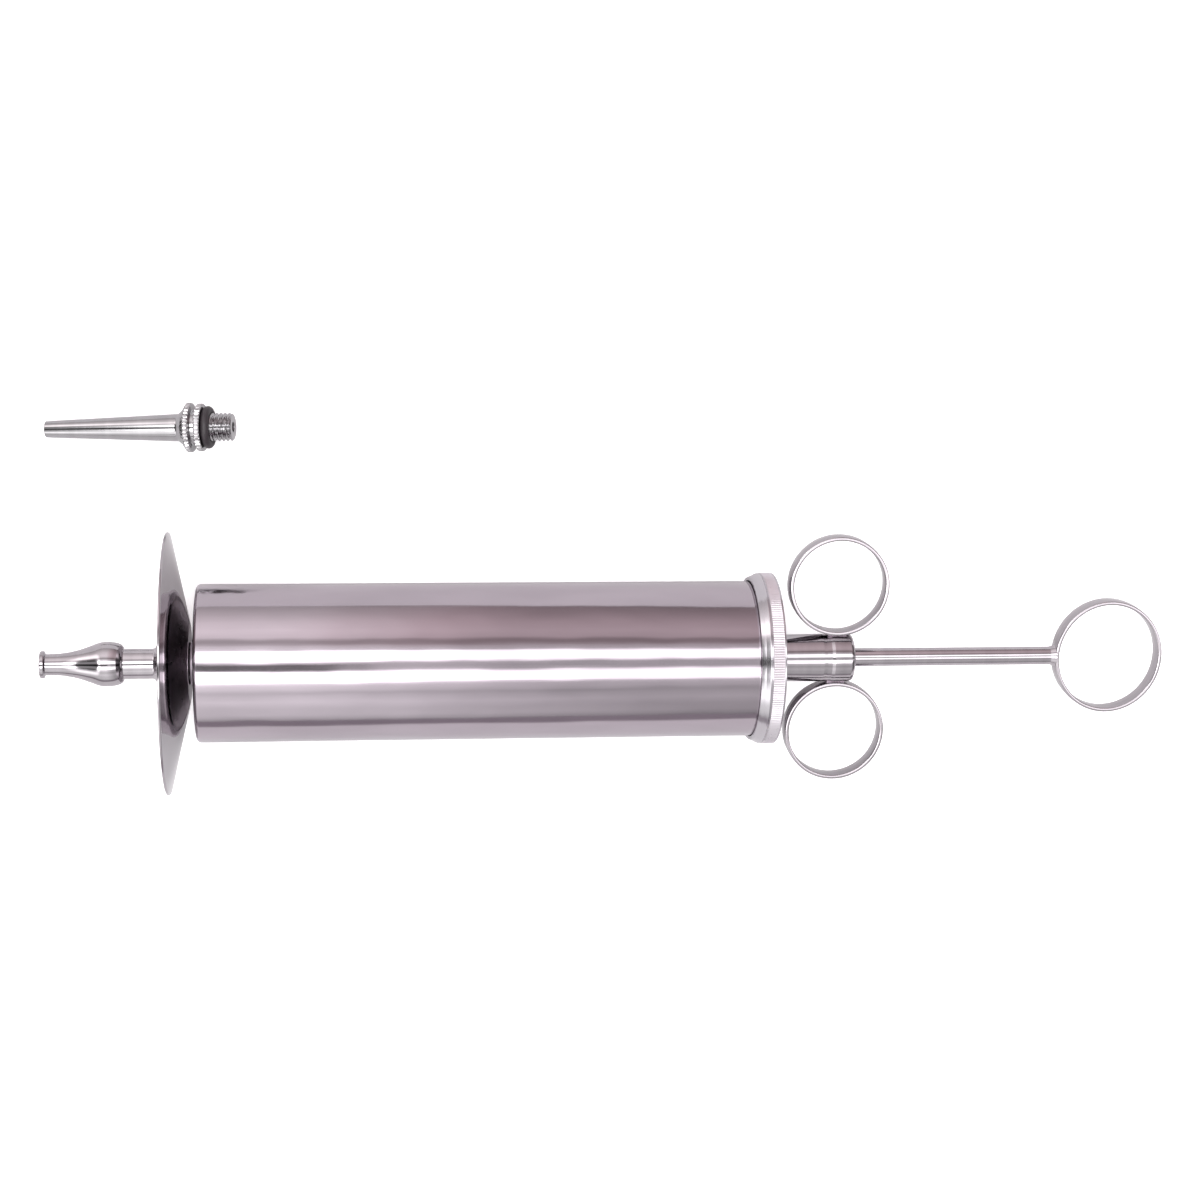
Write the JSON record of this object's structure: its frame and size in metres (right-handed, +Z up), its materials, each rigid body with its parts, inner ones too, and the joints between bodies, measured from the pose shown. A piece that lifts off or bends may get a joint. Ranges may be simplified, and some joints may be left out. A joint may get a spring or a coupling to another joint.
{
  "type": "meat injector syringe",
  "caption": "Stainless piston syringe with a screw cap, finger rings, thumb ring, splash shield and olive nozzle, lying beside a spare conical nozzle.",
  "frame": {"origin": "centre of the bottom of the whole object's box as it lies on a table", "axes": "+X along the syringe from the nozzle to the thumb ring, seen in plan; +Y towards the spare nozzle; +Z up from the table"},
  "size_m": [0.3232, 0.1112, 0.0728],
  "materials": {
    "polished_steel": "polished",
    "drawn_steel": "fine drawn finish, lightly polished",
    "turned_steel": "turned",
    "rubber": "matt"
  },
  "bodies": {
    "barrel": {"barrel_tube": "drawn_steel", "barrel_front_plate": "drawn_steel", "nozzle_socket": "turned_steel"},
    "shield": {"splash_shield": "polished_steel"},
    "nozzle_carrier": {"nozzle_seal": "rubber"},
    "nozzle": {"nozzle_body": "polished_steel", "olive_tip": "polished_steel"},
    "cap_carrier": {"cap_gasket": "rubber"},
    "cap": {"screw_cap": "polished_steel", "guide_sleeve": "polished_steel", "rod_bush": "turned_steel", "finger_ring_left": "polished_steel", "finger_ring_right": "polished_steel"},
    "piston_ring": {"piston_seal": "rubber"},
    "plunger": {"plunger_rod": "polished_steel", "thumb_ring": "polished_steel", "piston_front_nut": "turned_steel", "piston_front_plate": "turned_steel", "piston_core": "turned_steel", "piston_back_plate": "turned_steel", "piston_back_nut": "turned_steel"},
    "spare": {"spare_nozzle_body": "polished_steel", "spare_nozzle_seal": "rubber"}
  },
  "joints": [
    {"name": "cap_travel", "type": "slide", "parent": "barrel", "child": "cap_carrier", "axis": [0.9974, 0, -0.0721], "range_m": [0, 0.0032]},
    {"name": "cap_turn", "type": "hinge", "parent": "cap_carrier", "child": "cap", "pos_m": [0.04604, -0.01916, 0.0243], "axis": [0.9974, 0, -0.0721], "range_deg": [0, 1152]},
    {"name": "plunger_slide", "type": "slide", "parent": "cap", "child": "piston_ring", "axis": [0.9974, 0, -0.0721], "range_m": [0, 0.137]},
    {"name": "plunger_spin", "type": "hinge", "parent": "piston_ring", "child": "plunger", "pos_m": [-0.0138, -0.01916, 0.02863], "axis": [0.9974, 0, -0.0721], "continuous": true},
    {"name": "nozzle_travel", "type": "slide", "parent": "barrel", "child": "nozzle_carrier", "axis": [-0.9974, 0, 0.0721], "range_m": [0, 0.00575]},
    {"name": "nozzle_turn", "type": "hinge", "parent": "nozzle_carrier", "child": "nozzle", "pos_m": [-0.12352, -0.01916, 0.03656], "axis": [-0.9974, 0, 0.0721], "range_deg": [0, 1657]},
    {"name": "shield_turn", "type": "hinge", "parent": "barrel", "child": "shield", "pos_m": [-0.11853, -0.01916, 0.0362], "axis": [0.9974, 0, -0.0721], "continuous": true},
    {"name": "spare_lift", "type": "slide", "parent": "barrel", "child": "spare", "axis": [0, 0, 1], "range_m": [0, 0.1]}
  ],
  "couplings": [
    {"joint": "cap_travel", "follows": "cap_turn", "m_per_rad": 0.00015915},
    {"joint": "nozzle_turn", "follows": "nozzle_travel", "rad_per_m": 5026.5}
  ]
}
